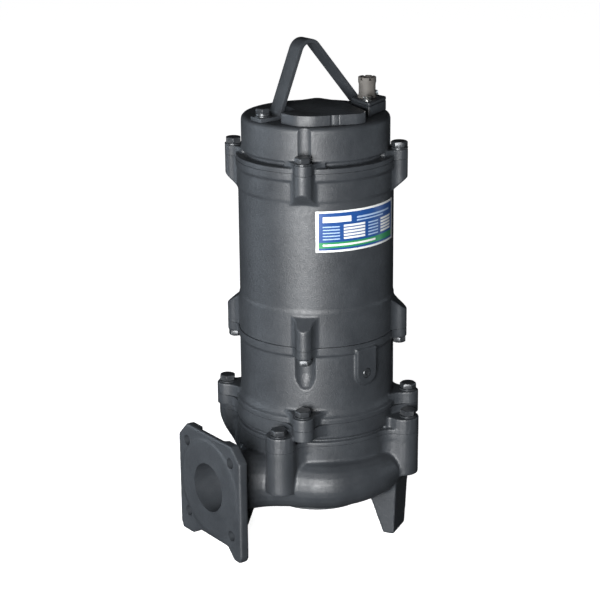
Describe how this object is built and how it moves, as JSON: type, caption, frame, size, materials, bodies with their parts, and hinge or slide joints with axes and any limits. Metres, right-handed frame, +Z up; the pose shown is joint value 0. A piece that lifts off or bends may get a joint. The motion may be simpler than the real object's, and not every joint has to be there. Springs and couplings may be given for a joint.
{
  "type": "submersible sewage pump",
  "caption": "Submersible sewage pump in dark painted cast iron, with a side discharge flange, volute on legs and strap lifting handle.",
  "frame": {"origin": "centre of the bounding box on the floor, at the bottom of the legs", "axes": "+Z up along the pump's own axis; -X is the way the discharge flange faces; -Y is the side with the label and oil plug"},
  "size_m": [0.2966, 0.2496, 0.6436],
  "materials": {
    "cast_paint": "satin dark grey paint on sand-cast iron",
    "bare_iron": "as cast",
    "painted_bolts": "satin dark paint on hexagon bolts",
    "bare_steel": "bare zinc-bright steel",
    "sleeve_rubber": "matte grey-brown rubber",
    "label_print": "printed plastic film"
  },
  "bodies": {
    "root": {"volute_casing": "cast_paint", "suction_cover": "cast_paint", "casing_cover": "cast_paint", "oil_chamber": "cast_paint", "motor_frame": "cast_paint", "motor_head": "cast_paint", "terminal_cover": "cast_paint", "gland_block": "cast_paint", "gland_plate": "cast_paint", "lifting_handle": "cast_paint", "impeller": "bare_iron", "oil_plug": "painted_bolts", "head_bolt_1": "painted_bolts", "head_bolt_2": "painted_bolts", "head_bolt_3": "painted_bolts", "head_bolt_4": "painted_bolts", "frame_bolt_1": "painted_bolts", "frame_bolt_2": "painted_bolts", "frame_bolt_3": "painted_bolts", "frame_bolt_4": "painted_bolts", "chamber_bolt_1": "painted_bolts", "chamber_bolt_2": "painted_bolts", "chamber_bolt_3": "painted_bolts", "chamber_bolt_4": "painted_bolts", "casing_bolt_1": "painted_bolts", "casing_bolt_2": "painted_bolts", "casing_bolt_3": "painted_bolts", "casing_bolt_4": "painted_bolts", "handle_bolt_left": "painted_bolts", "handle_bolt_right": "painted_bolts", "gland_screw_front": "bare_steel", "gland_screw_rear": "bare_steel", "cable_sleeve": "sleeve_rubber", "label_plate": "label_print"}
  },
  "joints": []
}
